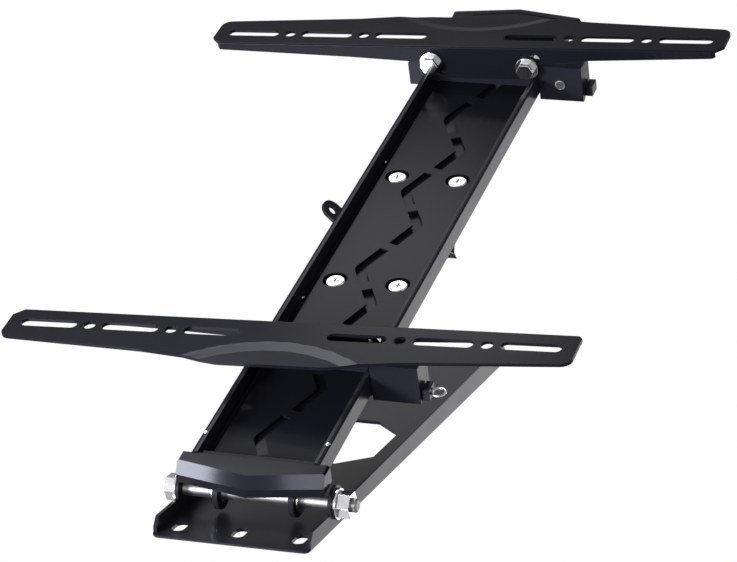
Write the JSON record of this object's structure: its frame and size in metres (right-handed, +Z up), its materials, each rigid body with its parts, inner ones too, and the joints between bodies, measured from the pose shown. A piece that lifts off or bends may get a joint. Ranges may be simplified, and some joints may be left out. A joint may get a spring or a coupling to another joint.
{
  "type": "tilt and swivel TV wall mount",
  "caption": "Swing-arm wall mount for a flat screen: wall plate, hinged arm, pivoting slotted rail and two tilting slotted arms that slide along it.",
  "frame": {"origin": "centre of the four outer wall slots on the wall face of the wall plate", "axes": "+X to the right facing the wall along the wall plate, +Y into the wall, +Z up"},
  "size_m": [0.6822, 0.2438, 0.4348],
  "materials": {
    "black_coat": "satin",
    "cover_coat": "satin",
    "zinc": "satin",
    "bright_screw": "polished",
    "grey_moulding": "satin",
    "bush_nylon": "satin"
  },
  "bodies": {
    "wall_mount": {"wall_plate": "black_coat", "hinge_bolt": "zinc", "hinge_nut": "bright_screw", "hinge_washers": "bright_screw", "hinge_rings": "bright_screw"},
    "arm": {"swing_arm": "black_coat", "arm_face_plate": "black_coat", "hinge_bushes": "bush_nylon", "pivot_bushes": "bush_nylon"},
    "rail": {"pivot_bracket": "black_coat", "pivot_bolt": "zinc", "pivot_nut": "zinc", "pivot_washers": "zinc", "rail": "black_coat", "cover_plate": "cover_coat", "rail_screws": "bright_screw", "end_cap_near": "grey_moulding", "end_cap_far": "grey_moulding"},
    "bracket_near": {"hook_bracket_near": "black_coat", "tilt_bolts_near": "zinc", "tilt_washers_near": "zinc", "tilt_nuts_near": "zinc", "lock_box_near": "black_coat", "lock_screw_near": "zinc"},
    "vesa_near": {"vesa_arm_near": "black_coat"},
    "latch_near": {"lock_latch_near": "zinc"},
    "bracket_far": {"hook_bracket_far": "black_coat", "tilt_bolts_far": "zinc", "tilt_washers_far": "zinc", "tilt_nuts_far": "zinc", "lock_box_far": "black_coat", "lock_screw_far": "zinc"},
    "vesa_far": {"vesa_arm_far": "black_coat"},
    "latch_far": {"lock_latch_far": "zinc"}
  },
  "joints": [
    {"name": "swivel_wall", "type": "hinge", "parent": "wall_mount", "child": "arm", "pos_m": [-0.167, -0.017, 0], "axis": [0, 0, -1], "range_deg": [-16.8, 43]},
    {"name": "swivel_rail", "type": "hinge", "parent": "arm", "child": "rail", "pos_m": [0.14891, -0.11238, 0], "axis": [0, 0, 1], "range_deg": [0, 45]},
    {"name": "slide_near", "type": "slide", "parent": "rail", "child": "bracket_near", "axis": [0.9573, -0.289, 0], "range_m": [-0.09, 0.14]},
    {"name": "tilt_near", "type": "hinge", "parent": "bracket_near", "child": "vesa_near", "pos_m": [-0.06074, -0.13213, 0], "axis": [0.9573, -0.289, 0], "range_deg": [-2.5, 10.5]},
    {"name": "latch_near", "type": "slide", "parent": "bracket_near", "child": "latch_near", "axis": [0, 0, -1], "range_m": [0, 0.005], "stiffness_N_per_m": 400, "springref_m": -0.004},
    {"name": "slide_far", "type": "slide", "parent": "rail", "child": "bracket_far", "axis": [0.9573, -0.289, 0], "range_m": [-0.18, 0.055]},
    {"name": "tilt_far", "type": "hinge", "parent": "bracket_far", "child": "vesa_far", "pos_m": [0.32506, -0.24861, 0], "axis": [0.9573, -0.289, 0], "range_deg": [-2.5, 10.5]},
    {"name": "latch_far", "type": "slide", "parent": "bracket_far", "child": "latch_far", "axis": [0, 0, -1], "range_m": [0, 0.005], "stiffness_N_per_m": 400, "springref_m": -0.004}
  ]
}
